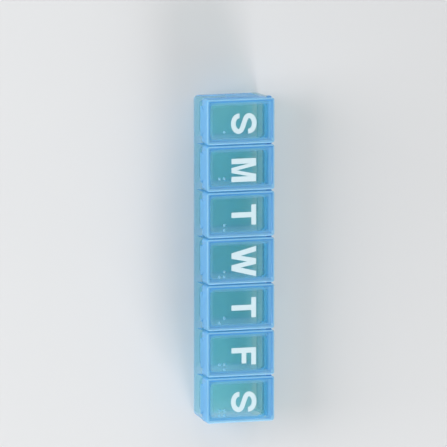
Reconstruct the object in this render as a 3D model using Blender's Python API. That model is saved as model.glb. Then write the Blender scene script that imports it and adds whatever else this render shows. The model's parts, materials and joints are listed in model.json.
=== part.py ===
"""Seven-day pill organizer: one moulded tray of seven cups and seven snap-on flip lids.

The tray lies along X with Sunday at -X, the thumb lips at -Y and the hinge row at +Y.
Each lid turns on two stub pins that snap into open sockets in the tray's hinge lugs.
"""

import math

import bmesh
import bpy
from mathutils import Matrix

MM = 0.001

# Row of cells
DAYS = ("sunday", "monday", "tuesday", "wednesday", "thursday", "friday", "saturday")
ROW_LENGTH = 161.8 * MM
DEPTH = 35.0 * MM
HEIGHT = 25.0 * MM
CLEARANCE = 0.3 * MM
OVERRUN = 2.0 * MM

# Lids
LID_GAP = 0.6 * MM
LID_WALL = 0.9 * MM
LID_PANEL = 1.2 * MM
LID_CORNER = 1.5 * MM
LID_EDGE_ROUND = 0.7 * MM
INSIDE_CORNER = 0.6 * MM
BORDER_WIDTH = 1.4 * MM
BORDER_HEIGHT = 0.35 * MM
BORDER_SLOPE = 0.25 * MM
SKIRT = 8.3 * MM
LIP_LENGTH = 15.0 * MM
LIP_REACH = 0.9 * MM
LIP_EDGE = 0.7 * MM
LIP_RISE = 2.4 * MM
LIP_TAPER = 2.0 * MM
LIP_CORNER = 0.6 * MM

# Tray
CUP_WALL = 1.0 * MM
FLOOR = 1.3 * MM
DECK = 1.2 * MM
OUTER_WALL = 1.6 * MM
POCKET_CORNER = 2.6 * MM
POCKET_ROUND = 2.0 * MM
POCKET_DRAFT = 0.4 * MM
BODY_CORNER = 2.2 * MM
BODY_DRAFT = 0.5 * MM
FOOT_ROUND = 1.2 * MM
SHOULDER_ROUND = 0.4 * MM
SLOT_CORNER = 0.8 * MM

# Hinge
HINGE_RADIUS = 1.7 * MM
HINGE_DROP = 5.5 * MM
PIN_RADIUS = 0.75 * MM
PIN_LENGTH = 1.3 * MM
LUG_WIDTH = 3.4 * MM
MOUTH = 1.2 * MM

# Front catch
CATCH_GAP = 0.4 * MM
CATCH_LENGTH = 8.0 * MM
CATCH_RADIUS = 0.5 * MM
CATCH_PROUD = 0.25 * MM
CATCH_SPACE = 0.15 * MM
CATCH_DROP = 6.6 * MM

# Facets
CORNER_STEPS = 4
EDGE_STEPS = 4
BARREL_SIDES = 24
PIN_SIDES = 16
CATCH_SIDES = 10
SMOOTH_ANGLE = math.radians(25)

# Colour of the moulded plastic
TRAY_BLUE = (0.070, 0.280, 0.690)
LID_BLUE = (0.085, 0.320, 0.740)
GLOSS = 0.22

# Places that follow from the sizes above
CELL_PITCH = (ROW_LENGTH + LID_GAP) / len(DAYS)
LID_LENGTH = CELL_PITCH - LID_GAP
FRONT = (LIP_REACH - DEPTH) / 2
REAR = FRONT + DEPTH
HINGE_Y = REAR - HINGE_RADIUS
HINGE_Z = HEIGHT - HINGE_DROP
PANEL_TOP = HEIGHT - BORDER_HEIGHT
PANEL_UNDER = PANEL_TOP - LID_PANEL
RIM_TOP = PANEL_UNDER - CLEARANCE
SKIRT_LOW = HEIGHT - SKIRT
DECK_TOP = SKIRT_LOW - CLEARANCE
DECK_UNDER = DECK_TOP - DECK
CUP_HALF = LID_LENGTH / 2 - LID_WALL - CLEARANCE
CUP_FRONT = FRONT + LID_WALL + CATCH_GAP
CUP_REAR = HINGE_Y - HINGE_RADIUS - CLEARANCE
LUG_HALF = LUG_WIDTH / 2
KNUCKLE_HALF = CELL_PITCH / 2 - LUG_HALF - CLEARANCE
NOTCH_FRONT = HINGE_Y - HINGE_RADIUS - CLEARANCE


def clear_scene():
    for item in list(bpy.data.objects):
        bpy.data.objects.remove(item)


def cell_centre(index):
    return (index - (len(DAYS) - 1) / 2) * CELL_PITCH


def plastic(name, colour):
    material = bpy.data.materials.new(name)
    material.use_nodes = True
    shader = material.node_tree.nodes["Principled BSDF"]
    shader.inputs["Base Color"].default_value = (*colour, 1)
    shader.inputs["Roughness"].default_value = GLOSS
    shader.inputs["Metallic"].default_value = 0
    return material


def rounded_ring(x_span, y_span, inset, corner, z):
    """A rounded rectangle at height z, drawn in from its spans by inset."""
    radius = corner - inset
    x_low, x_high = x_span[0] + inset + radius, x_span[1] - inset - radius
    y_low, y_high = y_span[0] + inset + radius, y_span[1] - inset - radius
    centres = ((x_high, y_high), (x_low, y_high), (x_low, y_low), (x_high, y_low))
    points = []
    for quarter, (x, y) in enumerate(centres):
        for step in range(CORNER_STEPS + 1):
            angle = math.pi / 2 * (quarter + step / CORNER_STEPS)
            points.append((x + radius * math.cos(angle), y + radius * math.sin(angle), z))
    return points


def round_steps(radius):
    """(inset, rise) pairs round a quarter circle, from a flat out to its wall."""
    angles = [math.pi / 2 * step / EDGE_STEPS for step in range(EDGE_STEPS + 1)]
    return [(radius * (1 - math.sin(a)), radius * (1 - math.cos(a))) for a in angles]


def loft(shape, rings):
    """Joins rings of equal count from the bottom up and closes both ends."""
    levels = [[shape.verts.new(point) for point in ring] for ring in rings]
    for low, high in zip(levels, levels[1:]):
        for i, vertex in enumerate(low):
            after = (i + 1) % len(low)
            shape.faces.new((vertex, low[after], high[after], high[i]))
    shape.faces.new(reversed(levels[0]))
    shape.faces.new(levels[-1])


def extrude_along_x(shape, profile, x_low, x_high):
    """A prism whose (y, z) profile runs anticlockwise seen from +X."""
    start = [shape.verts.new((x_low, y, z)) for y, z in profile]
    end = [shape.verts.new((x_high, y, z)) for y, z in profile]
    for i, vertex in enumerate(start):
        after = (i + 1) % len(start)
        shape.faces.new((vertex, start[after], end[after], end[i]))
    shape.faces.new(reversed(start))
    shape.faces.new(end)


def arc(y, z, radius, first, last, steps):
    """(y, z) points on an arc between two angles in quarter turns from +Y."""
    angles = [math.pi / 2 * (first + (last - first) * i / steps) for i in range(steps + 1)]
    return [(y + radius * math.cos(a), z + radius * math.sin(a)) for a in angles]


def circle(y, z, radius, sides):
    return arc(y, z, radius, 0, 4, sides)[:-1]


def add_object(name, shape):
    bmesh.ops.recalc_face_normals(shape, faces=shape.faces)
    mesh = bpy.data.meshes.new(name)
    shape.to_mesh(mesh)
    shape.free()
    item = bpy.data.objects.new(name, mesh)
    bpy.context.scene.collection.objects.link(item)
    return item


def combined(base, steps, name):
    """The base with each (operation, tool) done to it in turn, as one new mesh."""
    for operation, tool in steps:
        modifier = base.modifiers.new(tool.name, "BOOLEAN")
        modifier.operation = operation
        modifier.object = tool
        modifier.solver = "EXACT"
    graph = bpy.context.evaluated_depsgraph_get()
    mesh = bpy.data.meshes.new_from_object(base.evaluated_get(graph))
    mesh.name = name
    for item in [base] + [tool for _, tool in steps]:
        bpy.data.objects.remove(item)
    mesh.shade_smooth()
    mesh.set_sharp_from_angle(angle=SMOOTH_ANGLE)
    return mesh


# Tray


def tray_body():
    """The outer box under the deck, drafted, with a rounded foot and shoulder."""
    x_span, y_span = (-ROW_LENGTH / 2, ROW_LENGTH / 2), (FRONT, REAR)
    rings = [
        rounded_ring(x_span, y_span, BODY_DRAFT + inset, BODY_CORNER, rise)
        for inset, rise in round_steps(FOOT_ROUND)
    ]
    rings += [
        rounded_ring(x_span, y_span, inset, BODY_CORNER, DECK_TOP - rise)
        for inset, rise in reversed(round_steps(SHOULDER_ROUND))
    ]
    shape = bmesh.new()
    loft(shape, rings)
    return add_object("body", shape)


def cup_collars():
    """The cups' walls above the deck, which the lids cap."""
    shape = bmesh.new()
    for index in range(len(DAYS)):
        x = cell_centre(index)
        x_span, y_span = (x - CUP_HALF, x + CUP_HALF), (CUP_FRONT, CUP_REAR)
        corner = POCKET_CORNER + CUP_WALL
        heights = (DECK_TOP - DECK / 2, RIM_TOP)
        loft(shape, [rounded_ring(x_span, y_span, 0, corner, z) for z in heights])
    return add_object("collars", shape)


def pockets():
    """The insides of the cups: drafted, with round corners and a round floor edge."""
    shape = bmesh.new()
    for index in range(len(DAYS)):
        x = cell_centre(index)
        half = CUP_HALF - CUP_WALL
        x_span = (x - half, x + half)
        y_span = (CUP_FRONT + CUP_WALL, CUP_REAR - CUP_WALL)
        rings = [
            rounded_ring(x_span, y_span, POCKET_DRAFT + inset, POCKET_CORNER, FLOOR + rise)
            for inset, rise in round_steps(POCKET_ROUND)
        ]
        rings += [
            rounded_ring(x_span, y_span, 0, POCKET_CORNER, z)
            for z in (RIM_TOP, RIM_TOP + OVERRUN)
        ]
        loft(shape, rings)
    return add_object("pockets", shape)


def divider_slots():
    """Core-outs from below between the cups, so every wall stays one wall thick."""
    shape = bmesh.new()
    top_half = CELL_PITCH / 2 - CUP_HALF
    y_span = (FRONT + OUTER_WALL, CUP_REAR + CLEARANCE)
    for index in range(len(DAYS) - 1):
        x = cell_centre(index) + CELL_PITCH / 2
        rings = []
        for half, z in ((top_half + POCKET_DRAFT, -OVERRUN), (top_half, DECK_UNDER)):
            rings.append(rounded_ring((x - half, x + half), y_span, 0, SLOT_CORNER, z))
        loft(shape, rings)
    return add_object("divider_slots", shape)


def rear_slot():
    """The core-out from below between the cups' back walls and the outer wall."""
    shape = bmesh.new()
    x_span = (-ROW_LENGTH / 2 + OUTER_WALL, ROW_LENGTH / 2 - OUTER_WALL)
    y_span = (CUP_REAR, REAR - OUTER_WALL)
    heights = (-OVERRUN, DECK_UNDER)
    loft(shape, [rounded_ring(x_span, y_span, 0, SLOT_CORNER, z) for z in heights])
    return add_object("rear_slot", shape)


def lug_spans():
    """Where the hinge lugs stand along X: one at each cell boundary, cut off at the ends."""
    for boundary in range(len(DAYS) + 1):
        x = cell_centre(boundary) - CELL_PITCH / 2
        yield max(x - LUG_HALF, -ROW_LENGTH / 2), min(x + LUG_HALF, ROW_LENGTH / 2)


def hinge_lugs():
    """Round-topped lugs that stand on the deck behind the cups."""
    shape = bmesh.new()
    foot = DECK_TOP - DECK / 2
    profile = arc(HINGE_Y, HINGE_Z, HINGE_RADIUS, 0, 2, BARREL_SIDES // 2)
    profile += [(HINGE_Y - HINGE_RADIUS, foot), (HINGE_Y + HINGE_RADIUS, foot)]
    for x_low, x_high in lug_spans():
        extrude_along_x(shape, profile, x_low, x_high)
    return add_object("hinge_lugs", shape)


def hinge_bore():
    """The round sockets, bored through every lug on the hinge line."""
    shape = bmesh.new()
    end = ROW_LENGTH / 2 + OVERRUN
    bore = circle(HINGE_Y, HINGE_Z, PIN_RADIUS + CLEARANCE, PIN_SIDES)
    extrude_along_x(shape, bore, -end, end)
    return add_object("hinge_bore", shape)


def socket_mouths():
    """The slit behind each socket, narrower than the pin that snaps through it."""
    shape = bmesh.new()
    end = ROW_LENGTH / 2 + OVERRUN
    low, high = HINGE_Z - MOUTH / 2, HINGE_Z + MOUTH / 2
    back = REAR + OVERRUN
    profile = [(HINGE_Y, low), (back, low), (back, high), (HINGE_Y, high)]
    extrude_along_x(shape, profile, -end, end)
    return add_object("socket_mouths", shape)


def catch_height():
    return HEIGHT - CATCH_DROP


def tray_catches():
    """A bead across the front of each cup, which the lid's own bead snaps under."""
    shape = bmesh.new()
    y = CUP_FRONT + CATCH_RADIUS - CATCH_PROUD
    bead = circle(y, catch_height(), CATCH_RADIUS, CATCH_SIDES)
    for index in range(len(DAYS)):
        x = cell_centre(index)
        extrude_along_x(shape, bead, x - CATCH_LENGTH / 2, x + CATCH_LENGTH / 2)
    return add_object("tray_catches", shape)


def make_tray():
    steps = [
        ("UNION", cup_collars()),
        ("UNION", hinge_lugs()),
        ("UNION", tray_catches()),
        ("DIFFERENCE", pockets()),
        ("DIFFERENCE", divider_slots()),
        ("DIFFERENCE", rear_slot()),
        ("DIFFERENCE", hinge_bore()),
        ("DIFFERENCE", socket_mouths()),
    ]
    tray = bpy.data.objects.new("tray", combined(tray_body(), steps, "tray"))
    bpy.context.scene.collection.objects.link(tray)
    tray.data.materials.append(plastic("tray_blue", TRAY_BLUE))
    return tray


# Lids, modelled over a cell centred on X = 0 and then moved to the hinge line

LID_SPAN = (-LID_LENGTH / 2, LID_LENGTH / 2)


def lid_shell():
    """The lid's outside, from the foot of the skirt to the rounded top edge."""
    shape = bmesh.new()
    rings = [rounded_ring(LID_SPAN, (FRONT, REAR), 0, LID_CORNER, SKIRT_LOW)]
    rings += [
        rounded_ring(LID_SPAN, (FRONT, REAR), inset, LID_CORNER, HEIGHT - rise)
        for inset, rise in reversed(round_steps(LID_EDGE_ROUND))
    ]
    loft(shape, rings)
    return add_object("lid_shell", shape)


def lid_inside():
    """The hollow under the panel, within the skirts."""
    shape = bmesh.new()
    x_span = (LID_SPAN[0] + LID_WALL, LID_SPAN[1] - LID_WALL)
    y_span = (FRONT + LID_WALL, REAR - LID_WALL)
    heights = (SKIRT_LOW - OVERRUN, PANEL_UNDER)
    loft(shape, [rounded_ring(x_span, y_span, 0, INSIDE_CORNER, z) for z in heights])
    return add_object("lid_inside", shape)


def lid_recess():
    """The sunk field inside the raised border, with a sloped step."""
    shape = bmesh.new()
    rise = PANEL_TOP + OVERRUN
    foot = BORDER_WIDTH + BORDER_SLOPE
    rings = []
    for inset, z in ((foot, PANEL_TOP), (BORDER_WIDTH, HEIGHT), (BORDER_WIDTH, rise)):
        rings.append(rounded_ring(LID_SPAN, (FRONT, REAR), inset, LID_CORNER + BORDER_WIDTH, z))
    loft(shape, rings)
    return add_object("lid_recess", shape)


def rear_trim():
    """Ends the rear skirt at the hinge axis, where the barrel takes over."""
    shape = bmesh.new()
    low, back = SKIRT_LOW - OVERRUN, REAR + OVERRUN
    profile = [(NOTCH_FRONT, low), (back, low), (back, HINGE_Z), (NOTCH_FRONT, HINGE_Z)]
    extrude_along_x(shape, profile, LID_SPAN[0] - OVERRUN, LID_SPAN[1] + OVERRUN)
    return add_object("rear_trim", shape)


def lug_notches():
    """Room for the lugs under the lid's two rear corners, also while the lid turns."""
    shape = bmesh.new()
    low, back = SKIRT_LOW - OVERRUN, REAR + OVERRUN
    profile = [(NOTCH_FRONT, low), (back, low), (back, PANEL_UNDER), (NOTCH_FRONT, PANEL_UNDER)]
    end = LID_LENGTH / 2 + OVERRUN
    extrude_along_x(shape, profile, -end, -KNUCKLE_HALF)
    extrude_along_x(shape, profile, KNUCKLE_HALF, end)
    return add_object("lug_notches", shape)


def knuckle():
    """The barrel that the lid turns on."""
    shape = bmesh.new()
    barrel = circle(HINGE_Y, HINGE_Z, HINGE_RADIUS, BARREL_SIDES)
    extrude_along_x(shape, barrel, -KNUCKLE_HALF, KNUCKLE_HALF)
    return add_object("knuckle", shape)


def stub_pins():
    """One rod through the barrel, whose ends are the two stub pins."""
    shape = bmesh.new()
    pin = circle(HINGE_Y, HINGE_Z, PIN_RADIUS, PIN_SIDES)
    end = KNUCKLE_HALF + CLEARANCE + PIN_LENGTH
    extrude_along_x(shape, pin, -end, end)
    return add_object("stub_pins", shape)


def thumb_lip():
    """The ledge at the foot of the front skirt that a thumb lifts."""
    shape = bmesh.new()
    half = LIP_LENGTH / 2
    back = FRONT + LID_WALL / 2
    sections = (
        (half, LIP_REACH, SKIRT_LOW),
        (half, LIP_REACH, SKIRT_LOW + LIP_EDGE),
        (half - LIP_TAPER, 0, SKIRT_LOW + LIP_RISE),
    )
    rings = []
    for span, reach, z in sections:
        corner = min(LIP_CORNER, (back - FRONT + reach) / 2)
        rings.append(rounded_ring((-span, span), (FRONT - reach, back), 0, corner, z))
    loft(shape, rings)
    return add_object("thumb_lip", shape)


def lid_catch():
    """The bead inside the front skirt, just below the cup's bead when shut."""
    shape = bmesh.new()
    y = FRONT + LID_WALL - CATCH_RADIUS + CATCH_PROUD
    half_height = math.sqrt(CATCH_RADIUS**2 - (CATCH_RADIUS - CATCH_PROUD) ** 2)
    z = catch_height() - 2 * half_height - CATCH_SPACE
    bead = circle(y, z, CATCH_RADIUS, CATCH_SIDES)
    extrude_along_x(shape, bead, -CATCH_LENGTH / 2, CATCH_LENGTH / 2)
    return add_object("lid_catch", shape)


def make_lid_mesh():
    steps = [
        ("DIFFERENCE", lid_inside()),
        ("DIFFERENCE", lid_recess()),
        ("DIFFERENCE", rear_trim()),
        ("DIFFERENCE", lug_notches()),
        ("UNION", knuckle()),
        ("UNION", stub_pins()),
        ("UNION", thumb_lip()),
        ("UNION", lid_catch()),
    ]
    mesh = combined(lid_shell(), steps, "flip_lid")
    mesh.transform(Matrix.Translation((0, -HINGE_Y, -HINGE_Z)))
    mesh.materials.append(None)
    return mesh


def add_lids(tray):
    """Seven lids that share one mesh, each with its origin on the hinge line."""
    mesh = make_lid_mesh()
    for index, day in enumerate(DAYS):
        lid = bpy.data.objects.new("lid_" + day, mesh)
        bpy.context.scene.collection.objects.link(lid)
        lid.parent = tray
        lid.location = (cell_centre(index), HINGE_Y, HINGE_Z)
        lid.material_slots[0].link = "OBJECT"
        lid.material_slots[0].material = plastic("lid_blue_" + day, LID_BLUE)


def main():
    clear_scene()
    add_lids(make_tray())


main()
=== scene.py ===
"""Dresses the packed weekly pill organizer: moulded tray, flip lids, printed letters, raised dots.

The row lies along X with Sunday at -X, the thumb lips at -Y and the hinge line at +Y.
"""

import json
import math

import bpy
from bpy.props import FloatProperty, FloatVectorProperty, IntProperty, PointerProperty
from mathutils import Matrix, Vector


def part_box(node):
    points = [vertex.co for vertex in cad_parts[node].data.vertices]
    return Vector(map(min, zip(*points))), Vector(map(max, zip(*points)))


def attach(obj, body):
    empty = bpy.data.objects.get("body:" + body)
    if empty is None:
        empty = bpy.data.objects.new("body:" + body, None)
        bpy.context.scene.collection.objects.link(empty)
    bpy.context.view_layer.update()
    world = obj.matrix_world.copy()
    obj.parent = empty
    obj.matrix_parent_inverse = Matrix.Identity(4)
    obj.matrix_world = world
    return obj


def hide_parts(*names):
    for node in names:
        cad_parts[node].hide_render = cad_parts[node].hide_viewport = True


bl_info = {
    "name": "Pill organizer dresser",
    "version": (1, 0, 0),
    "blender": (4, 5, 0),
    "location": "3D View > Sidebar > Organizer",
    "description": "Models and finishes a translucent weekly pill organizer round its packed frame",
    "category": "Object",
}

MM = 0.001
# How far a cutter reaches past the face that it cuts through
OVERRUN = 2 * MM
# Points nearer to each other than this count as being at one place
SAME_PLACE = 0.002 * MM
DAYS = ("sunday", "monday", "tuesday", "wednesday", "thursday", "friday", "saturday")

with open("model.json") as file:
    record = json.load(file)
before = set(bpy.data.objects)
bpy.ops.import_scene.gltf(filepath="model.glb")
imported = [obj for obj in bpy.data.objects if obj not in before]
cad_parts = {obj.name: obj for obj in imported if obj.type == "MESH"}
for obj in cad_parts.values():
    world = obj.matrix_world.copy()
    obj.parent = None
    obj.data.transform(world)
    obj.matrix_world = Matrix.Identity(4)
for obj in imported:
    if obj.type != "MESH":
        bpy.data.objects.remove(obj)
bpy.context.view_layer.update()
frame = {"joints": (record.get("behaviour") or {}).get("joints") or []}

# Places read from the frame, each as it is at rest
TRAY_LOW, TRAY_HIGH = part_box("tray")
LID_LOW, LID_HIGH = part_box("lid_wednesday")
HINGES = {joint["child"]: Vector(joint["pos_m"]) for joint in frame["joints"]}
HINGE = HINGES["lid_wednesday"]
PITCH = HINGES["lid_thursday"].x - HINGE.x
LID_HALF = (LID_HIGH.x - LID_LOW.x) / 2
FRONT, REAR = TRAY_LOW.y, TRAY_HIGH.y
LIP_FRONT = LID_LOW.y
SKIRT_LOW, TOP = LID_LOW.z, LID_HIGH.z
RIM = TRAY_HIGH.z
ROW_HALF = TRAY_HIGH.x


def millimetres(label, text, default):
    return FloatProperty(
        name=label, description=text, default=default * MM, unit="LENGTH", precision=5
    )


def share(label, text, default):
    return FloatProperty(name=label, description=text, default=default, min=0, max=1)


def angle(label, text, degrees):
    return FloatProperty(
        name=label, description=text, default=math.radians(degrees), subtype="ANGLE"
    )


def hue(label, text, default):
    return FloatVectorProperty(
        name=label, description=text, default=default, subtype="COLOR", size=3, min=0, max=1
    )


class LidSizes(bpy.types.PropertyGroup):
    """Wall, border and lip sizes of one flip lid"""

    wall: millimetres("Skirt wall", "Thickness of the lid's skirts", 0.9)
    panel: millimetres("Panel", "Thickness of the lid's top panel", 1.2)
    corner: millimetres("Corner", "Radius of the lid's upright corners", 1.5)
    edge: millimetres("Top edge", "Radius round the lid's top edge", 0.7)
    inner: millimetres("Inner corner", "Radius of the corners inside the skirts", 0.6)
    border: millimetres("Border", "Width of the raised border", 1.4)
    step: millimetres("Step", "Height of the border over the sunk field", 0.35)
    slope: millimetres("Slope", "Width of the slope down to the sunk field", 0.25)
    lip_length: millimetres("Lip length", "Length of the thumb lip", 15)
    lip_edge: millimetres("Lip edge", "Thickness of the thumb lip at its nose", 0.7)
    lip_rise: millimetres("Lip rise", "Height at which the thumb lip ends", 2.4)
    lip_taper: millimetres("Lip taper", "How much the lip draws in at each end", 2)
    lip_corner: millimetres("Lip corner", "Radius of the thumb lip's corners", 0.6)


class TraySizes(bpy.types.PropertyGroup):
    """Wall and pocket sizes of the moulded tray"""

    wall: millimetres("Cup wall", "Thickness of the cups' collars", 1)
    floor: millimetres("Floor", "Thickness of the cups' floors", 1.3)
    deck: millimetres("Deck", "Thickness of the deck round the cups", 1.2)
    outer: millimetres("Outer wall", "Thickness of the tray's outer wall", 1.6)
    corner: millimetres("Body corner", "Radius of the tray's upright corners", 2.2)
    draft: millimetres("Body draft", "How much the tray narrows to its foot", 0.5)
    foot: millimetres("Foot", "Radius round the tray's foot", 1.2)
    shoulder: millimetres("Shoulder", "Radius round the tray's shoulder", 0.4)
    slot_corner: millimetres("Slot corner", "Radius of the core-outs' corners", 0.8)
    pocket_corner: millimetres("Pocket corner", "Radius of the pockets' upright corners", 2.6)
    pocket_round: millimetres("Floor round", "Radius where a pocket's wall meets its floor", 2)
    pocket_draft: millimetres("Pocket draft", "How much a pocket narrows to its floor", 0.4)


class FitSizes(bpy.types.PropertyGroup):
    """Sizes shared by the lids and the tray where they meet"""

    gap: millimetres("Running gap", "Space between pieces that move past each other", 0.3)
    catch_gap: millimetres("Catch gap", "Space between a collar and the lid's front skirt", 0.4)
    radius: millimetres("Barrel", "Radius of the lids' barrels and the lugs' tops", 1.7)
    pin: millimetres("Pin", "Radius of the stub pins", 0.75)
    pin_length: millimetres("Pin length", "How far a pin reaches into its socket", 1.3)
    lug: millimetres("Lug", "Width of a hinge lug", 3.4)
    mouth: millimetres("Mouth", "Height of a socket's open mouth", 1.2)
    bead: millimetres("Bead", "Radius of the catch beads", 0.5)
    bead_proud: millimetres("Bead height", "How far a catch bead stands out", 0.25)
    bead_length: millimetres("Bead length", "Length of the catch beads", 8)
    bead_drop: millimetres("Bead drop", "Depth of the tray's beads under the lids' tops", 6.6)
    bead_space: millimetres("Bead space", "Height between the two beads when shut", 0.15)
    hairline: millimetres("Hairline", "Radius that takes the sharpness off every edge", 0.1)


class MarkSizes(bpy.types.PropertyGroup):
    """Sizes of the printed letters and the raised dots"""

    cap: millimetres("Cap height", "Height of the printed letters", 12.7)
    stem: millimetres("Stem", "Width of the letters' upright strokes", 2.65)
    bar: millimetres("Bar", "Width of the letters' level strokes", 2.45)
    ink: millimetres("Ink", "Thickness of the printed ink", 0.06)
    lift: millimetres("Lift", "Space under the ink and the dots", 0.004)
    baseline: millimetres("Baseline", "Distance of the baseline from the lid's front edge", 12.75)
    dot: millimetres("Dot", "Diameter of a raised dot", 1.6)
    dot_height: millimetres("Dot height", "Height of a raised dot", 0.5)
    dot_pitch: millimetres("Dot pitch", "Distance between neighbouring dots", 2.5)
    dot_column: millimetres("Dot column", "First column's distance from the Sunday edge", 16.3)
    dot_row: millimetres("Dot row", "First row's distance from the lid's front edge", 9)


class Finish(bpy.types.PropertyGroup):
    """Colours and gloss of the moulded plastic and of the ink"""

    body: hue("Body", "Colour that the milky part of the plastic sends back", (0.10, 0.40, 0.84))
    # The edge colour is a painted highlight: the lids' top edges, front skirts, dots, Saturday sides
    # and inner bands, and the tops of the cups' rims, are paled towards it
    edge: hue("Edge", "Colour of the edges, which gather light", (0.42, 0.82, 1.0))
    lid_depth: hue("Lid depth", "Colour that a lid's level face lets through", (0.85, 0.972, 0.975))
    tray_depth: hue("Tray depth", "Colour that the tray's level faces let through", (0.84, 0.97, 0.945))
    lid_wall: hue("Lid wall", "Colour that a lid's upright wall lets through", (0.87, 0.97, 0.985))
    tray_wall: hue("Tray wall", "Colour that the tray's walls let through", (0.90, 0.972, 0.978))
    rear_wall: hue("Rear wall", "Colour that a cup's rear wall lets through", (0.88, 0.945, 0.905))
    through: hue("Through", "Colour of the milky light that comes through", (0.22, 0.58, 0.90))
    glow: share("Glow", "Share of the milky light that comes through from behind", 0.3)
    haze: share("Haze", "Milkiness of one level face seen straight on", 0.03)
    wall_haze: share("Wall haze", "Milkiness added on upright walls", 0.03)
    # Besides the thick rims, this also makes the lids' sides, Saturday sides and front skirts milkier,
    # as painted light
    rim_haze: share("Rim haze", "Milkiness added at the thick rims", 0.65)
    slant_haze: share("Slant haze", "Milkiness added where a face is seen at a slant", 1.0)
    rough: share("Roughness", "Roughness of the moulded faces", 0.16)
    ink: hue("Ink", "Colour of the printed letters", (0.72, 0.90, 0.98))


class StageSizes(bpy.types.PropertyGroup):
    """Floor, lamps and camera"""

    floor: hue("Floor", "Colour of the floor", (0.80, 0.81, 0.82))
    sky: share("Sky", "Strength of the even light from all round", 0.32)
    lens: FloatProperty(name="Lens", description="Camera lens in mm", default=651.7, min=50, max=2000)
    distance: FloatProperty(
        name="Distance", description="From the camera to the lids", default=4, unit="LENGTH"
    )
    lean: angle("Lean", "How far the camera stands to the lip side", 16.9)
    rise: angle("Rise", "How far the camera stands to the Sunday side", 8.5)
    side: IntProperty(name="Picture side", description="Pixels along the picture", default=447)
    lids_at: FloatVectorProperty(
        name="Lids at",
        description="Pixel where the middle of the lids' tops shows",
        size=2,
        default=(240.85, 261.1),
    )


SETTINGS = {
    "lid": LidSizes,
    "tray": TraySizes,
    "fit": FitSizes,
    "marks": MarkSizes,
    "finish": Finish,
    "stage": StageSizes,
}


def in_scene(name):
    """The name under which the scene keeps one group of settings."""
    return "organizer_" + name


def settings(name):
    """The scene's settings of one kind, such as the lid's or the stage's."""
    return getattr(bpy.context.scene, in_scene(name))


# Modelling steps

# The least turn between two faces that leaves a sharp edge to soften, or a crease in the shading
SHARP_EDGE, CREASE = math.radians(40), math.radians(35)


def only(piece):
    """Leaves one piece selected and active."""
    bpy.ops.object.select_all(action="DESELECT")
    piece.select_set(True)
    bpy.context.view_layer.objects.active = piece


def settle(piece):
    """Puts the piece's place, turn and scale into its mesh."""
    only(piece)
    bpy.ops.object.transform_apply(location=True, rotation=True, scale=True)
    return piece


def added(name, operator, **options):
    """What an add operator makes, with nothing else selected."""
    bpy.ops.object.select_all(action="DESELECT")
    operator(**options)
    made = bpy.context.active_object
    made.name = name
    return made


def block(name, low, high):
    """A box between two corners, as the start of a piece."""
    piece = added(name, bpy.ops.mesh.primitive_cube_add, size=1)
    low, high = Vector(low), Vector(high)
    piece.scale = high - low
    piece.location = (low + high) / 2
    return settle(piece)


def rod(name, centre, radius, length, sides):
    """A round bar along X."""
    bar = added(
        name,
        bpy.ops.mesh.primitive_cylinder_add,
        vertices=sides,
        radius=radius,
        depth=length,
        location=centre,
        rotation=(0, math.pi / 2, 0),
    )
    return settle(bar)


def choose(piece, kind, test):
    """Enters edit mode with the points, edges or faces chosen whose points pass a test."""
    only(piece)
    bpy.ops.object.mode_set(mode="EDIT")
    bpy.context.tool_settings.mesh_select_mode = [kind == k for k in ("VERT", "EDGE", "FACE")]
    bpy.ops.mesh.select_all(action="DESELECT")
    bpy.ops.object.mode_set(mode="OBJECT")
    mesh = piece.data
    points = [vertex.co.copy() for vertex in mesh.vertices]
    if kind == "VERT":
        for vertex in mesh.vertices:
            vertex.select = test([vertex.co])
    else:
        for item in mesh.edges if kind == "EDGE" else mesh.polygons:
            item.select = test([points[index] for index in item.vertices])
    bpy.ops.object.mode_set(mode="EDIT")


def finish_edit():
    bpy.ops.object.mode_set(mode="OBJECT")


def round_off(piece, test, radius, segments):
    """Rounds the edges whose two ends pass a test."""
    choose(piece, "EDGE", test)
    bpy.ops.mesh.bevel(
        offset_type="OFFSET", offset=radius, segments=segments, profile=0.5, affect="EDGES"
    )
    finish_edit()


def resize_ring(piece, test, x_by, y_by):
    """Draws the chosen points in towards their middle by two lengths."""
    choose(piece, "VERT", test)
    finish_edit()
    ring = [vertex.co for vertex in piece.data.vertices if vertex.select]
    low = Vector([min(point[i] for point in ring) for i in range(3)])
    high = Vector([max(point[i] for point in ring) for i in range(3)])
    middle, half = (low + high) / 2, (high - low) / 2
    bpy.ops.object.mode_set(mode="EDIT")
    bpy.ops.transform.resize(
        value=(1 - x_by / half.x, 1 - y_by / half.y, 1), center_override=middle
    )
    finish_edit()


def shift_points(piece, test, by):
    """Moves the chosen points by a vector."""
    choose(piece, "VERT", test)
    bpy.ops.transform.translate(value=by)
    finish_edit()


def raise_face(piece, test, by):
    """Extrudes the chosen face upwards by a length."""
    choose(piece, "FACE", test)
    bpy.ops.mesh.extrude_region_move(TRANSFORM_OT_translate={"value": (0, 0, by)})
    finish_edit()


def near(value, place):
    return abs(value - place) < SAME_PLACE


def upright(points):
    """True for an edge that runs up, or nearly so on a drafted side."""
    along = points[0] - points[1]
    least_share_up = 0.9
    return abs(along.z) > least_share_up * along.length


def level_at(z):
    """A test for points that all lie at one height."""
    return lambda points: all(near(point.z, z) for point in points)


def apply_all(piece):
    """Works the piece's modifiers into its mesh."""
    only(piece)
    for modifier in list(piece.modifiers):
        bpy.ops.object.modifier_apply(modifier=modifier.name)


def combine(piece, operation, tools):
    """Joins or cuts the piece with each tool and throws the tools away."""
    for tool in tools:
        modifier = piece.modifiers.new(tool.name, "BOOLEAN")
        modifier.operation, modifier.solver, modifier.object = operation, "EXACT", tool
    apply_all(piece)
    for tool in tools:
        bpy.data.objects.remove(tool)


def join(pieces, name):
    """Several pieces that don't touch, as one object."""
    only(pieces[0])
    for piece in pieces:
        piece.select_set(True)
    if len(pieces) > 1:
        bpy.ops.object.join()
    joined = bpy.context.active_object
    joined.name = name
    return joined


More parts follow.
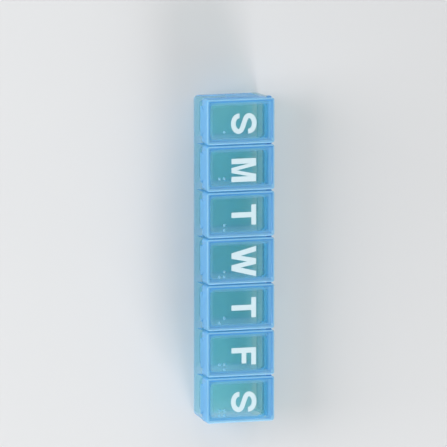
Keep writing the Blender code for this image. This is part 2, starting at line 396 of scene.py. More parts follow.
def copy_to(piece, x, name):
    """A copy with its own mesh, moved along the row."""
    only(piece)
    bpy.ops.object.duplicate()
    made = bpy.context.active_object
    made.name = name
    made.location.x = x
    return settle(made)


def repeated(piece, places):
    """Copies of the piece at each place along the row, as one object."""
    name = piece.name
    copies = [copy_to(piece, x, name) for x in places]
    bpy.data.objects.remove(piece)
    return join(copies, name)


def soften(piece, width):
    """Takes the sharpness off the edges that are left, so that they catch the light."""
    modifier = piece.modifiers.new("hairline", "BEVEL")
    modifier.limit_method, modifier.angle_limit = "ANGLE", SHARP_EDGE
    modifier.width, modifier.segments = width, 2
    apply_all(piece)


def smooth(piece):
    """Shades the piece smooth, apart from its creases."""
    only(piece)
    bpy.ops.object.shade_smooth_by_angle(angle=CREASE)
    return piece


def dress(piece, body, material):
    """Gives a piece its finish and makes it move with its body."""
    piece.data.materials.clear()
    piece.data.materials.append(material)
    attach(piece, body)


# Places shared by the lids and the tray


def cell_places():
    return [HINGES["lid_" + day].x for day in DAYS]


def boundary_places():
    first = cell_places()[0] - PITCH / 2
    return [first + PITCH * index for index in range(len(DAYS) + 1)]


def cup_span(lid, fit):
    """Half length, front and rear of a cup's collar."""
    half = LID_HALF - lid.wall - fit.gap
    return half, FRONT + lid.wall + fit.catch_gap, HINGE.y - fit.radius - fit.gap


def knuckle_half(fit):
    return PITCH / 2 - fit.lug / 2 - fit.gap


# Tray


def tray_body(tray, fit):
    deck_top = SKIRT_LOW - fit.gap
    body = block("moulded_tray", (-ROW_HALF, FRONT, 0), (ROW_HALF, REAR, deck_top))
    resize_ring(body, level_at(0), tray.draft, tray.draft)
    round_off(body, upright, tray.corner, segments=8)
    round_off(body, level_at(0), tray.foot, segments=6)
    round_off(body, level_at(deck_top), tray.shoulder, segments=4)
    return body


def cup_collars(lid, tray, fit):
    half, front, rear = cup_span(lid, fit)
    low = SKIRT_LOW - fit.gap - tray.deck / 2
    collar = block("collars", (-half, front, low), (half, rear, RIM))
    round_off(collar, upright, tray.pocket_corner + tray.wall, segments=8)
    return repeated(collar, cell_places())


def cup_pockets(lid, tray, fit):
    half, front, rear = cup_span(lid, fit)
    wall = tray.wall
    low, high = (wall - half, front + wall, tray.floor), (half - wall, rear - wall, RIM)
    pocket = block("pockets", low, high)
    resize_ring(pocket, level_at(tray.floor), tray.pocket_draft, tray.pocket_draft)
    round_off(pocket, upright, tray.pocket_corner, segments=8)
    round_off(pocket, level_at(tray.floor), tray.pocket_round, segments=8)
    raise_face(pocket, level_at(RIM), OVERRUN)
    return repeated(pocket, cell_places())


def divider_slots(lid, tray, fit):
    half, _, rear = cup_span(lid, fit)
    top_half = PITCH / 2 - half
    low = (-top_half - tray.pocket_draft, FRONT + tray.outer, -OVERRUN)
    high = (top_half + tray.pocket_draft, rear + fit.gap, SKIRT_LOW - fit.gap - tray.deck)
    slot = block("divider_slots", low, high)
    resize_ring(slot, level_at(high[2]), tray.pocket_draft, 0)
    round_off(slot, upright, tray.slot_corner, segments=4)
    return repeated(slot, boundary_places()[1:-1])


def rear_slot(lid, tray, fit):
    _, _, rear = cup_span(lid, fit)
    inset = tray.outer
    low = (inset - ROW_HALF, rear, -OVERRUN)
    high = (ROW_HALF - inset, REAR - inset, SKIRT_LOW - fit.gap - tray.deck)
    slot = block("rear_slot", low, high)
    round_off(slot, upright, tray.slot_corner, segments=4)
    return slot


def hinge_lugs(tray, fit):
    """One round-topped lug at each cell boundary, cut off at the row's ends."""
    lugs = []
    low_z, high_z = SKIRT_LOW - fit.gap - tray.deck / 2, HINGE.z + fit.radius
    # The rounds of a lug's front and rear stop just short of each other
    almost_whole = 0.998

    def top_side(ends):
        return level_at(high_z)(ends) and near(ends[0].y, ends[1].y)

    for x in boundary_places():
        x_low, x_high = max(x - fit.lug / 2, -ROW_HALF), min(x + fit.lug / 2, ROW_HALF)
        low = (x_low, HINGE.y - fit.radius, low_z)
        lug = block("lug", low, (x_high, HINGE.y + fit.radius, high_z))
        round_off(lug, top_side, almost_whole * fit.radius, segments=16)
        lugs.append(lug)
    return join(lugs, "hinge_lugs")


def hinge_bore(fit):
    return rod("bore", (0, HINGE.y, HINGE.z), fit.pin + fit.gap, 2 * (ROW_HALF + OVERRUN), sides=32)


def socket_mouths(fit):
    end, half = ROW_HALF + OVERRUN, fit.mouth / 2
    low = (-end, HINGE.y, HINGE.z - half)
    return block("mouths", low, (end, REAR + OVERRUN, HINGE.z + half))


def tray_beads(lid, fit):
    _, front, _ = cup_span(lid, fit)
    centre = (0, front + fit.bead - fit.bead_proud, TOP - fit.bead_drop)
    bead = rod("beads", centre, fit.bead, fit.bead_length, sides=20)
    return repeated(bead, cell_places())


def model_tray():
    lid, tray, fit = settings("lid"), settings("tray"), settings("fit")
    piece = tray_body(tray, fit)
    combine(piece, "UNION", [cup_collars(lid, tray, fit), hinge_lugs(tray, fit), tray_beads(lid, fit)])
    cutters = [
        cup_pockets(lid, tray, fit),
        divider_slots(lid, tray, fit),
        rear_slot(lid, tray, fit),
        hinge_bore(fit),
        socket_mouths(fit),
    ]
    combine(piece, "DIFFERENCE", cutters)
    soften(piece, fit.hairline)
    return smooth(piece)


# Lids, modelled over the middle cell


def lid_shell(lid):
    shell = block("flip_lid", (-LID_HALF, FRONT, SKIRT_LOW), (LID_HALF, REAR, TOP))
    round_off(shell, upright, lid.corner, segments=8)
    round_off(shell, level_at(TOP), lid.edge, segments=8)
    return shell


def lid_hollow(lid):
    wall, under = lid.wall, TOP - lid.step - lid.panel
    low = (wall - LID_HALF, FRONT + wall, SKIRT_LOW - OVERRUN)
    hollow = block("hollow", low, (LID_HALF - wall, REAR - wall, under))
    under_round = wall / 3
    round_off(hollow, upright, lid.inner, segments=6)
    round_off(hollow, level_at(under), under_round, segments=3)
    return hollow


def lid_field(lid):
    """The sunk field inside the raised border, with its sloped edge."""
    border, low = lid.border, TOP - lid.step
    high = (LID_HALF - border, REAR - border, TOP)
    field = block("field", (border - LID_HALF, FRONT + border, low), high)
    resize_ring(field, level_at(low), lid.slope, lid.slope)
    round_off(field, upright, lid.corner, segments=8)
    raise_face(field, level_at(TOP), OVERRUN)
    return field


def hinge_room(lid, fit):
    """Cutters for the rear skirt under the barrel and for the lugs at both rear corners."""
    front, low, end = HINGE.y - fit.radius - fit.gap, SKIRT_LOW - OVERRUN, LID_HALF + OVERRUN
    under, start = TOP - lid.step - lid.panel, knuckle_half(fit)
    back = REAR + OVERRUN
    return [
        block("under_barrel", (-end, front, low), (end, back, HINGE.z)),
        block("sunday_notch", (-end, front, low), (-start, back, under)),
        block("saturday_notch", (start, front, low), (end, back, under)),
    ]


def barrel_and_pins(fit):
    half = knuckle_half(fit)
    barrel = rod("barrel", HINGE, fit.radius, 2 * half, sides=48)
    pins = rod("pins", HINGE, fit.pin, 2 * (half + fit.gap + fit.pin_length), sides=32)
    return [barrel, pins]


def thumb_lip(lid):
    half, back = lid.lip_length / 2, FRONT + lid.wall / 2
    top = SKIRT_LOW + lid.lip_edge
    lip = block("lip", (-half, LIP_FRONT, SKIRT_LOW), (half, back, top))
    round_off(lip, upright, lid.lip_corner, segments=5)
    raise_face(lip, level_at(top), lid.lip_rise - lid.lip_edge)
    # The upper outline draws back to the lid's front face, and its rear stays in the skirt's wall
    reach, upper = FRONT - LIP_FRONT, level_at(SKIRT_LOW + lid.lip_rise)
    resize_ring(lip, upper, lid.lip_taper, reach / 2)
    shift_points(lip, upper, (0, reach / 2, 0))
    return lip


def lid_bead(lid, fit):
    """The bead inside the front skirt, just below the cup's bead when shut."""
    y = FRONT + lid.wall - fit.bead + fit.bead_proud
    tall = 2 * math.sqrt(fit.bead**2 - (fit.bead - fit.bead_proud) ** 2)
    centre = (0, y, TOP - fit.bead_drop - tall - fit.bead_space)
    return rod("bead", centre, fit.bead, fit.bead_length, sides=20)


def model_lid():
    lid, fit = settings("lid"), settings("fit")
    piece = lid_shell(lid)
    combine(piece, "DIFFERENCE", [lid_hollow(lid), lid_field(lid), *hinge_room(lid, fit)])
    combine(piece, "UNION", [*barrel_and_pins(fit), thumb_lip(lid), lid_bead(lid, fit)])
    soften(piece, fit.hairline)
    return smooth(piece)


# Printed letters. In a letter's own plane, X is the reading direction and Y is up

# Each letter's width, and how far its middle lies from the lid's, to the Saturday side
LETTER_WIDTHS = {"S": 10.1 * MM, "M": 11.6 * MM, "T": 10.1 * MM, "W": 15.2 * MM, "F": 8.6 * MM}
LETTER_SHIFTS = {"S": 1.05 * MM, "M": 1.05 * MM, "T": 0.2 * MM, "W": 0.35 * MM, "F": 1.4 * MM}
# Half of the S's middle line, from its upper end to its middle, in shares of its width and height
S_LINE_SHARES = (
    (1.0, 0.705),
    (1.0, 0.755),
    (0.93, 0.875),
    (0.75, 0.966),
    (0.5, 1.0),
    (0.25, 0.966),
    (0.067, 0.873),
    (0.0, 0.745),
    (0.065, 0.64),
    (0.25, 0.565),
    (0.5, 0.5),
)


def stroke(low, high, marks, shift=0.0):
    """A stroke between two corners, whose upper end may be shifted along the line of text."""
    piece = block("stroke", (*low, 0), (*high, marks.ink))
    if shift:
        shift_points(piece, lambda points: near(points[0].y, high[1]), (shift, 0, 0))
    return piece


def letter_t(width, marks):
    half, stem = width / 2, marks.stem / 2
    return [
        stroke((-stem, 0), (stem, marks.cap), marks),
        stroke((-half, marks.cap - marks.bar), (half, marks.cap), marks),
    ]


def letter_f(width, marks):
    half, cap, bar = width / 2, marks.cap, marks.bar
    arm_share, arm_height_share = 0.92, 0.51
    middle = arm_height_share * cap
    return [
        stroke((-half, 0), (marks.stem - half, cap), marks),
        stroke((-half, cap - bar), (half, cap), marks),
        stroke((-half, middle - bar / 2), (arm_share * width - half, middle + bar / 2), marks),
    ]


def slanted(foot, top, width, marks):
    """A stroke whose middle goes from one place on the baseline to another on the cap line."""
    return stroke((foot - width / 2, 0), (foot + width / 2, marks.cap), marks, top - foot)


def letter_m(width, marks):
    half, stem, cap = width / 2, marks.stem, marks.cap
    foot, top, slant_width = 0.026 * width, 0.263 * width, 0.7 * stem
    return [
        stroke((-half, 0), (stem - half, cap), marks),
        stroke((half - stem, 0), (half, cap), marks),
        slanted(-foot, -top, slant_width, marks),
        slanted(foot, top, slant_width, marks),
    ]


def letter_w(width, marks):
    outer, inner = marks.stem, 0.87 * marks.stem
    outer_foot, outer_top = 0.2 * width, (width - outer) / 2
    inner_foot, inner_top = 0.181 * width, 0.016 * width
    return [
        slanted(-outer_foot, -outer_top, outer, marks),
        slanted(-inner_foot, -inner_top, inner, marks),
        slanted(inner_foot, inner_top, inner, marks),
        slanted(outer_foot, outer_top, outer, marks),
    ]


def letter_s(width, marks):
    """A ribbon of even width along a line that is alike when turned by half a turn."""
    band, overshoot = marks.bar, 0.1 * marks.bar
    wide, tall = width - band, marks.cap + 2 * overshoot - band
    low = band / 2 - overshoot
    shares = list(S_LINE_SHARES) + [(1 - u, 1 - v) for u, v in reversed(S_LINE_SHARES[:-1])]
    line = curve_through([(wide * (u - 0.5), low + tall * v, 0) for u, v in shares])
    half, ink = band / 2, marks.ink
    profile = curve_through(
        [(-half, 0, 0), (half, 0, 0), (half, ink, 0), (-half, ink, 0)], closed=True
    )
    line.data.twist_mode, line.data.resolution_u = "Z_UP", 10
    line.data.bevel_mode, line.data.bevel_object = "OBJECT", profile
    line.data.use_fill_caps = True
    only(line)
    bpy.ops.object.convert(target="MESH")
    bpy.data.objects.remove(profile)
    return [bpy.context.active_object]


def curve_through(points, closed=False):
    """A smooth curve through points, or a closed shape with straight sides."""
    item = added("curve", bpy.ops.curve.primitive_bezier_curve_add)
    item.data.dimensions = "3D"
    spline = item.data.splines[0]
    spline.bezier_points.add(len(points) - len(spline.bezier_points))
    spline.use_cyclic_u = closed
    for knot, point in zip(spline.bezier_points, points):
        knot.co = point
        knot.handle_left_type = knot.handle_right_type = "VECTOR" if closed else "AUTO"
    return item


LETTERS = {"S": letter_s, "M": letter_m, "T": letter_t, "W": letter_w, "F": letter_f}


def model_letter(day):
    """The day's initial, printed on the sunk field and read from the Sunday side on."""
    lid, marks = settings("lid"), settings("marks")
    initial = day[0].upper()
    piece, *others = LETTERS[initial](LETTER_WIDTHS[initial], marks)
    combine(piece, "UNION", others)
    piece.name = "letter_" + day
    piece.location = (
        HINGES["lid_" + day].x + LETTER_SHIFTS[initial],
        FRONT + marks.baseline,
        TOP - lid.step + marks.lift,
    )
    settle(piece)
    return smooth(piece)


# Raised dots: each lid's number in dots, in the order of the week

DOT_ROWS = 3
DOTS_OF_NUMBERS = ((1,), (1, 2), (1, 4), (1, 4, 5), (1, 5), (1, 2, 4), (1, 2, 4, 5))


def dome(marks):
    """One dot: the top of a flattened ball, closed below."""
    radius = marks.dot / 2
    sphere = bpy.ops.mesh.primitive_uv_sphere_add
    ball = added("dot", sphere, segments=32, ring_count=16, radius=radius)
    ball.scale.z = marks.dot_height / radius
    settle(ball)
    choose(ball, "VERT", lambda points: True)
    bpy.ops.mesh.bisect(
        plane_co=(0, 0, 0),
        plane_no=(0, 0, 1),
        use_fill=True,
        clear_inner=True,
        threshold=0.01 * MM,
    )
    finish_edit()
    return ball


def model_dots(day, numbers):
    """The dots of one lid's number. They are numbered down the first column and then the second."""
    lid, marks = settings("lid"), settings("marks")
    start = HINGES["lid_" + day].x - LID_HALF + marks.dot_column
    dots = []
    for number in numbers:
        column, row = divmod(number - 1, DOT_ROWS)
        dot = dome(marks)
        dot.location = (
            start + column * marks.dot_pitch,
            FRONT + marks.dot_row - row * marks.dot_pitch,
            TOP - lid.step + marks.lift,
        )
        dots.append(settle(dot))
    return smooth(join(dots, "dots_" + day))


# Shader sums


class Term:
    """A shader output that takes part in Python sums"""

    def __init__(self, bench, socket):
        self.bench, self.socket = bench, socket

    def maths(self, operation, first, second=0.0):
        return self.bench.node("ShaderNodeMath", {"operation": operation}, {0: first, 1: second})

    def __add__(self, other):
        return self.maths("ADD", self, other)

    def __sub__(self, other):
        return self.maths("SUBTRACT", self, other)

    def __rsub__(self, other):
        return self.maths("SUBTRACT", other, self)

    def __mul__(self, other):
        return self.maths("MULTIPLY", self, other)

    def __truediv__(self, other):
        return self.maths("DIVIDE", self, other)

    def __pow__(self, other):
        return self.maths("POWER", self, other)

    def __abs__(self):
        return self.maths("ABSOLUTE", self)

    __radd__, __rmul__ = __add__, __mul__

    def least(self, other):
        return self.maths("MINIMUM", self, other)

    def most(self, other):
        return self.maths("MAXIMUM", self, other)

    def whole(self):
        return self.maths("ROUND", self)

    def from_to(self, start, end):
        """0 at start, 1 at end, and smooth between them."""
        return self.bench.node(
            "ShaderNodeMapRange",
            {"interpolation_type": "SMOOTHSTEP"},
            {"Value": self, "From Min": start, "From Max": end},
        )

    def up_to(self, full, none):
        """1 up to full, 0 from none on, and smooth between them."""
        return 1 - self.from_to(full, none)

    def about(self, middle, span):
        """Turns a pattern from 0 to 1 into a value that moves over a span about its middle."""
        return self * span + (middle - span / 2)


class Bench:
    """The nodes of one material or of the world"""

    def __init__(self, owner):
        owner.use_nodes = True
        self.owner, self.tree = owner, owner.node_tree
        self.tree.nodes.clear()

    def node(self, kind, options, inputs, output=0):
        """A node whose options are set first and whose inputs are then set or linked."""
        made = self.tree.nodes.new(kind)
        for key, value in options.items():
            setattr(made, key, value)
        for key, value in inputs.items():
            if isinstance(value, Term):
                self.tree.links.new(value.socket, made.inputs[key])
            else:
                made.inputs[key].default_value = value
        return Term(self, made.outputs[output]) if made.outputs else None

    def place(self):
        return self.node("ShaderNodeTexCoord", {}, {}, "Object")

    def direction(self):
        """The way that the surface faces, in the object's own axes."""
        return self.node("ShaderNodeTexCoord", {}, {}, "Normal")

    def axes(self, place):
        parted = self.node("ShaderNodeSeparateXYZ", {}, {0: place})
        return [Term(self, socket) for socket in parted.socket.node.outputs]

    def noise(self, place, size, detail=3.0):
        """Noise from 0 to 1 whose blotches are about this size across."""
        return self.node(
            "ShaderNodeTexNoise", {}, {"Vector": place, "Scale": 1 / size, "Detail": detail}
        )

    def stretched(self, place, scale):
        return self.node("ShaderNodeMapping", {}, {"Vector": place, "Scale": scale})

    def between(self, factor, first, second):
        """A colour between two colours, each a list of numbers or a Term."""
        first, second = (c if isinstance(c, Term) else (*c, 1) for c in (first, second))
        inputs = {0: factor, 6: first, 7: second}
        return self.node("ShaderNodeMix", {"data_type": "RGBA"}, inputs, 2)

    def mottled(self, pattern, colour, low, high):
        """A colour that a pattern scales between two shares of itself."""
        ends = [[min(channel * share, 1.0) for channel in colour] for share in (low, high)]
        return self.between(pattern, *ends)

    def bump(self, height, distance):
        return self.node("ShaderNodeBump", {}, {"Height": height, "Distance": distance})

    def solid_face(self, inputs):
        """A face that sends light back."""
        return self.node("ShaderNodeBsdfPrincipled", {}, inputs)

    def clear_face(self, colour):
        """A face that only tints the light that passes."""
        return self.node("ShaderNodeBsdfTransparent", {}, {"Color": (*colour, 1)})

    def mixed(self, factor, first, second):
        """A shader between two shaders."""
        return self.node("ShaderNodeMixShader", {}, {0: factor, 1: first, 2: second})

    def put_out(self, shader, kind="ShaderNodeOutputMaterial"):
        self.node(kind, {}, {"Surface": shader})
        return self.owner


# Finishes

# Sizes across of the plastic's clouds, flow streaks and fine peel, of the ink's patches and grain,
# and of the floor's clouds
CLOUDS, STREAKS, PEEL = 9 * MM, 2.2 * MM, 0.5 * MM
PATCHES, GRAIN = 1.6 * MM, 0.25 * MM
FLOOR_CLOUDS = 120 * MM
# The streaks run along the row, this many times as long as they are wide
STREAK_LENGTH = 4
# How much of a face's direction points up or down where it is a wall, and where it is level
WALL_UP, LEVEL_UP = 0.3, 0.9
# A face's haze grows with this power of its slant, up to this many times the slant haze that is set
SLANT_POWER, SLANT_PEAK = 16.0, 5
# The most that a face's haze comes to, and the share of it that a clearer wall loses
MOST_HAZE, CLEARED = 0.96, 0.7
# How far down from its top a cup's rim is milky, and how far down its painted highlight band reaches
RIM_MILKY, RIM_PAINTED_HIGHLIGHT = 2.5 * MM, 0.9 * MM


def moulded_plastic(name, depth, wall_depth, masks_of):
    """Glossy translucent plastic: a tint that light passes and a milky part that sends light back.

    Upright walls have a tint of their own. masks_of gives three masks: where the moulding looks
    milkier, for its thickness and, in some zones, as painted light; where painted highlights and lit
    bands pale it towards the edge colour; and where its walls are clearer than elsewhere, which is None
    for nowhere.
    """
    finish = settings("finish")
    bench = Bench(bpy.data.materials.new(name))
    place = bench.place()
    clouds = bench.noise(place, CLOUDS)
    streaks = bench.noise(bench.stretched(place, (1 / STREAK_LENGTH, 1, 1)), STREAKS)
    peel = bench.noise(place, PEEL, detail=2.0)
    thick, pale, clearer = masks_of(bench, place)
    body = bench.mottled(clouds, finish.body, low=0.93, high=1.07)
    peel_share = 0.3
    milk = bench.solid_face(
        {
            # Painted highlights and lit bands: the second mask pales the colour towards the edge colour
            "Base Color": bench.between(pale, body, finish.edge),
            "Roughness": streaks.about(finish.rough, span=0.08),
            "IOR": 1.5,
            "Normal": bench.bump(peel * peel_share + streaks, distance=0.012 * MM),
        }
    )
    through = bench.node("ShaderNodeBsdfTranslucent", {}, {"Color": (*finish.through, 1)})
    milk = bench.mixed(finish.glow, milk, through)
    wall = abs(bench.axes(bench.direction())[2]).up_to(WALL_UP, LEVEL_UP)
    clear = bench.mixed(wall, bench.clear_face(depth), bench.clear_face(wall_depth))
    slant = bench.node("ShaderNodeLayerWeight", {}, {"Blend": 0.5}, "Facing")
    haze = clouds.about(finish.haze, span=0.04)
    haze = haze + wall * finish.wall_haze + thick * finish.rim_haze
    haze = haze + slant**SLANT_POWER * (SLANT_PEAK * finish.slant_haze)
    haze = haze.least(MOST_HAZE)
    if clearer:
        clearer = clearer * wall
        clear = bench.mixed(clearer, clear, bench.clear_face(finish.rear_wall))
        haze = haze * (1 - clearer * CLEARED)
    return bench.put_out(bench.mixed(haze, clear, milk))


def highest(zones):
    """The highest of several masks, each times the share that stands with it."""
    first, *others = [mask * share for mask, share in zones]
    for mask in others:
        first = first.most(mask)
    return first


def in_from_ends(y):
    """How far a point lies in from the nearer of the row's front and rear."""
    return (REAR - FRONT) / 2 - abs(y - (FRONT + REAR) / 2)


def lid_masks(bench, place):
    """The masks of a lid. Its border, barrel and dots are thick, and so is its front skirt at the lip.
    As painted light, the front skirt, the two sides of its top and, more than the rest, the Saturday
    side are made milkier; painted highlights pale its top edges, front skirt, dots and Saturday side;
    and a painted light band, paler and milkier, runs inside the border.
    """
    lid, fit = settings("lid"), settings("fit")
    border, edge = lid.border, lid.edge
    x, y, z = bench.axes(place)
    cell_x = x - (x / PITCH).whole() * PITCH
    across = LID_HALF - abs(cell_x)
    inset = across.least(in_from_ends(y))
    top = z.from_to(TOP - lid.step - lid.slope, TOP - lid.step)
    raised = inset.up_to(0.9 * border, 1.3 * border)
    inner = inset.up_to(2 * border, 2.7 * border)
    # A painted light band just inside the raised border
    band = inner * (1 - raised)
    upper = z.from_to(TOP - lid.panel - lid.step - lid.wall, TOP - edge)
    # The border is thick; the ring inside it is made milkier as painted light
    raised = raised.most(inner * 0.3) * upper
    # Painted light: a milkier band along the Sunday and Saturday sides of the top
    sides = across.up_to(1.9 * border, 2.6 * border) * top
    # Painted light: the Saturday side of the top, made milkier and paler as if lit more
    saturday = cell_x.from_to(LID_HALF - 2.1 * border, LID_HALF - 1.7 * border) * top
    # The front skirt, thick at its lip, is also made milkier and paler as painted light on its lit face
    front = y.up_to(FRONT + lid.wall, FRONT + 2 * lid.wall)
    barrel = y.from_to(HINGE.y - 1.1 * fit.radius, HINGE.y - 0.7 * fit.radius)
    # The dots are thick, and are paled as painted highlights
    dots = z.from_to(TOP - 0.8 * lid.step, TOP - 0.3 * lid.step)
    dots = dots * inset.from_to(border + lid.slope, 1.4 * border)
    # Painted highlight along the lid's top edges
    painted_edge_highlight = inset.up_to(0.9 * edge, 1.5 * edge) * z.from_to(TOP - edge, TOP)
    # Each zone, with its share of the full effect. The border, barrel, dots and front lip are thick;
    # the rest of the thick zones and every pale zone are painted light
    thick = ((raised, 1), (sides, 0.5), (saturday, 0.7), (front, 1), (barrel, 0.7), (dots, 0.9))
    pale = ((painted_edge_highlight, 1), (front, 0.5), (dots, 1), (band, 0.6), (saturday, 0.7))
    return highest(thick) + painted_edge_highlight * 0.25, highest(pale), None


def tray_masks(bench, place):
    """The masks of the tray: its rims, lugs and outer wall are thick, a painted highlight band pales
    the tops of its rims, and the cups' rear walls are clearer than the other walls.
    """
    lid, tray, fit = settings("lid"), settings("tray"), settings("fit")
    x, y, z = bench.axes(place)
    outer = (ROW_HALF - abs(x)).least(in_from_ends(y)).up_to(tray.draft, tray.outer)
    lugs = y.from_to(HINGE.y - fit.radius - fit.gap, HINGE.y - fit.radius)
    lugs = lugs * z.from_to(SKIRT_LOW - tray.deck, SKIRT_LOW)
    rim = z.from_to(RIM - RIM_MILKY, RIM)
    # Painted highlight: a pale band at the top of each rim
    pale = z.from_to(RIM - RIM_PAINTED_HIGHLIGHT, RIM) * 0.8
    # Takes in the cups' rear walls and the inner face of the outer wall behind them
    _, _, back = cup_span(lid, fit)
    rear = y.from_to(back - 1.6 * tray.wall, back - 1.4 * tray.wall)
    rear = rear - y.from_to(REAR - 0.8 * tray.outer, REAR - 0.6 * tray.outer)
    return highest(((rim, 1), (outer, 0.16), (lugs, 0.6))), pale, rear


def printed_ink(name):
    """Pale ink, a little uneven, as a pad print is."""
    bench = Bench(bpy.data.materials.new(name))
    place = bench.place()
    grain = bench.noise(place, GRAIN)
    patches = bench.noise(place, PATCHES)
    colour = bench.mottled(patches, settings("finish").ink, low=0.95, high=1.04)
    rough, normal = grain.about(0.405, span=0.15), bench.bump(grain, distance=0.008 * MM)
    ink = {"Base Color": colour, "Roughness": rough, "Normal": normal}
    return bench.put_out(bench.solid_face(ink))


def pale_floor(name):
    """A matt pale floor with wide faint clouds."""
    bench = Bench(bpy.data.materials.new(name))
    clouds = bench.noise(bench.place(), FLOOR_CLOUDS)
    colour = bench.mottled(clouds, settings("stage").floor, low=0.985, high=1.015)
    return bench.put_out(bench.solid_face({"Base Color": colour, "Roughness": 0.75}))


# Stage

# The floor's side, and its height: just under the tray's foot, so that no two faces share a place
FLOOR_SIDE, FLOOR_HEIGHT = 6, -0.05 * MM
# Each lamp's name, place, two sides in metres, and power in watts. All of them face the origin
SOFTBOXES = (
    ("front", (-0.2, -1.1, 0.55), (0.8, 0.8), 11),
    ("sunday_side", (-1.05, 0.1, 0.42), (0.5, 0.9), 4),
    ("saturday_side", (1.0, 0.33, 0.42), (0.4, 0.45), 8.5),
)
# The width of the camera's sensor in millimetres
SENSOR_WIDTH = 36
# The most clear faces that one ray passes, because lids, skirts, cups and slots overlap in a view
CLEAR_FACES = 32


def add_floor():
    plane = bpy.ops.mesh.primitive_plane_add
    floor = added("floor", plane, size=FLOOR_SIDE, location=(0, 0, FLOOR_HEIGHT))
    floor.data.materials.append(pale_floor("pale_floor"))


def even_sky():
    """An even pale light, which the camera and reflections see as white."""
    sky = settings("stage").sky
    bench = Bench(bpy.data.worlds.new("even_sky"))
    camera, glossy, passing = (
        bench.node("ShaderNodeLightPath", {}, {}, ray)
        for ray in ("Is Camera Ray", "Is Glossy Ray", "Is Transmission Ray")
    )
    seen = camera.most(glossy).most(passing)
    light = {"Color": (1, 1, 1, 1), "Strength": seen * (1 - sky) + sky}
    light = bench.node("ShaderNodeBackground", {}, light)
    bpy.context.scene.world = bench.put_out(light, "ShaderNodeOutputWorld")


def add_softbox(name, place, size, power):
    """A rectangular lamp at a place, turned to the origin."""
    lamp = added(name, bpy.ops.object.light_add, type="AREA", location=place)
    lamp.data.shape = "RECTANGLE"
    lamp.data.size, lamp.data.size_y = size
    lamp.data.energy = power
    lamp.rotation_euler = (-Vector(place)).to_track_quat("-Z", "X").to_euler()


def add_camera():
    """A long lens, above the lids, a little to the lip side and to the Sunday side."""
    stage = settings("stage")
    lean, rise = stage.lean, stage.rise
    right = Vector((0, math.cos(lean), math.sin(lean)))
    back = Vector((-math.sin(rise), -math.sin(lean) * math.cos(rise), math.cos(lean) * math.cos(rise)))
    up = back.cross(right)
    data = bpy.data.cameras.new("camera")
    data.lens, data.sensor_width = stage.lens, SENSOR_WIDTH
    camera = bpy.data.objects.new("camera", data)
    bpy.context.scene.collection.objects.link(camera)
    # The length at the lids that one pixel covers
    pixel = stage.distance * data.sensor_width / data.lens / stage.side
    off_right = (stage.lids_at[0] - stage.side / 2) * pixel
    off_up = (stage.side / 2 - stage.lids_at[1]) * pixel
    lids = Vector((HINGE.x, (FRONT + REAR) / 2, TOP))
    place = lids + back * stage.distance - right * off_right - up * off_up
    turn = Matrix((right, up, back)).transposed()
    camera.matrix_world = Matrix.Translation(place) @ turn.to_4x4()
    bpy.context.scene.camera = camera


# Operators


class ORGANIZER_OT_tray(bpy.types.Operator):
    """Model the moulded tray in place of its plain solid"""

    bl_idname = "organizer.tray"
    bl_label = "Moulded tray"

    def execute(self, context):
        finish = settings("finish")
        plastic = moulded_plastic("tray_moulding", finish.tray_depth, finish.tray_wall, tray_masks)
        tray = model_tray()
        dress(tray, "tray", plastic)
        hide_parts("tray")
        return {"FINISHED"}


class ORGANIZER_OT_lids(bpy.types.Operator):
    """Model one flip lid and copy it to every day"""

    bl_idname = "organizer.lids"
    bl_label = "Flip lids"

    def execute(self, context):
        finish = settings("finish")
        plastic = moulded_plastic("lid_moulding", finish.lid_depth, finish.lid_wall, lid_masks)
        first = model_lid()
        for day in DAYS:
            node = "lid_" + day
            lid = copy_to(first, HINGES[node].x, "flip_" + node)
            dress(lid, node, plastic)
            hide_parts(node)
        bpy.data.objects.remove(first)
        return {"FINISHED"}


class ORGANIZER_OT_letters(bpy.types.Operator):
    """Print each day's initial on its lid"""

    bl_idname = "organizer.letters"
    bl_label = "Printed letters"

    def execute(self, context):
        ink = printed_ink("marking_ink")
        for day in DAYS:
            dress(model_letter(day), "lid_" + day, ink)
        return {"FINISHED"}


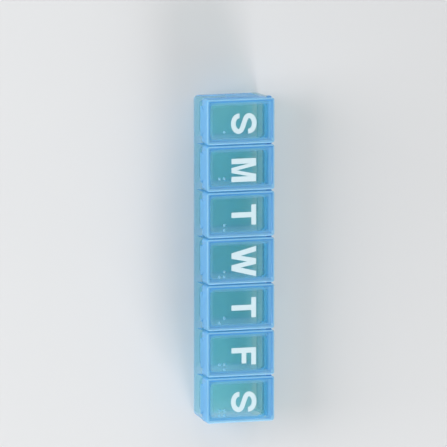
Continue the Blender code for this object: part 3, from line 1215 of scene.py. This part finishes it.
class ORGANIZER_OT_dots(bpy.types.Operator):
    """Mould each day's number in raised dots on its lid"""

    bl_idname = "organizer.dots"
    bl_label = "Raised dots"

    def execute(self, context):
        for day, numbers in zip(DAYS, DOTS_OF_NUMBERS):
            plastic = bpy.data.objects["flip_lid_" + day].active_material
            dress(model_dots(day, numbers), "lid_" + day, plastic)
        return {"FINISHED"}


class ORGANIZER_OT_stage(bpy.types.Operator):
    """Add the floor, the lamps and the camera"""

    bl_idname = "organizer.stage"
    bl_label = "Stage"

    def execute(self, context):
        add_floor()
        even_sky()
        for softbox in SOFTBOXES:
            add_softbox(*softbox)
        add_camera()
        scene = bpy.context.scene
        scene.view_settings.view_transform = "Standard"
        scene.cycles.transparent_max_bounces = CLEAR_FACES
        return {"FINISHED"}


class ORGANIZER_PT_panel(bpy.types.Panel):
    """The organizer's steps and sizes in the sidebar"""

    bl_idname = "ORGANIZER_PT_panel"
    bl_label = "Pill organizer"
    bl_space_type = "VIEW_3D"
    bl_region_type = "UI"
    bl_category = "Organizer"

    def draw(self, context):
        for operator in OPERATORS:
            self.layout.operator(operator.bl_idname)
        for name, group in SETTINGS.items():
            box = self.layout.box()
            box.label(text=group.__doc__)
            for key in group.__annotations__:
                box.prop(settings(name), key)


OPERATORS = (
    ORGANIZER_OT_tray,
    ORGANIZER_OT_lids,
    ORGANIZER_OT_letters,
    ORGANIZER_OT_dots,
    ORGANIZER_OT_stage,
)
CLASSES = (*SETTINGS.values(), *OPERATORS, ORGANIZER_PT_panel)


def register():
    for item in CLASSES:
        bpy.utils.register_class(item)
    for name, group in SETTINGS.items():
        setattr(bpy.types.Scene, in_scene(name), PointerProperty(type=group))


def unregister():
    for name in SETTINGS:
        delattr(bpy.types.Scene, in_scene(name))
    for item in reversed(CLASSES):
        bpy.utils.unregister_class(item)


def main():
    """Registers the classes and runs the steps in order."""
    register()
    bpy.ops.organizer.tray()
    bpy.ops.organizer.lids()
    bpy.ops.organizer.letters()
    bpy.ops.organizer.dots()
    bpy.ops.organizer.stage()


if __name__ == "__main__":
    main()
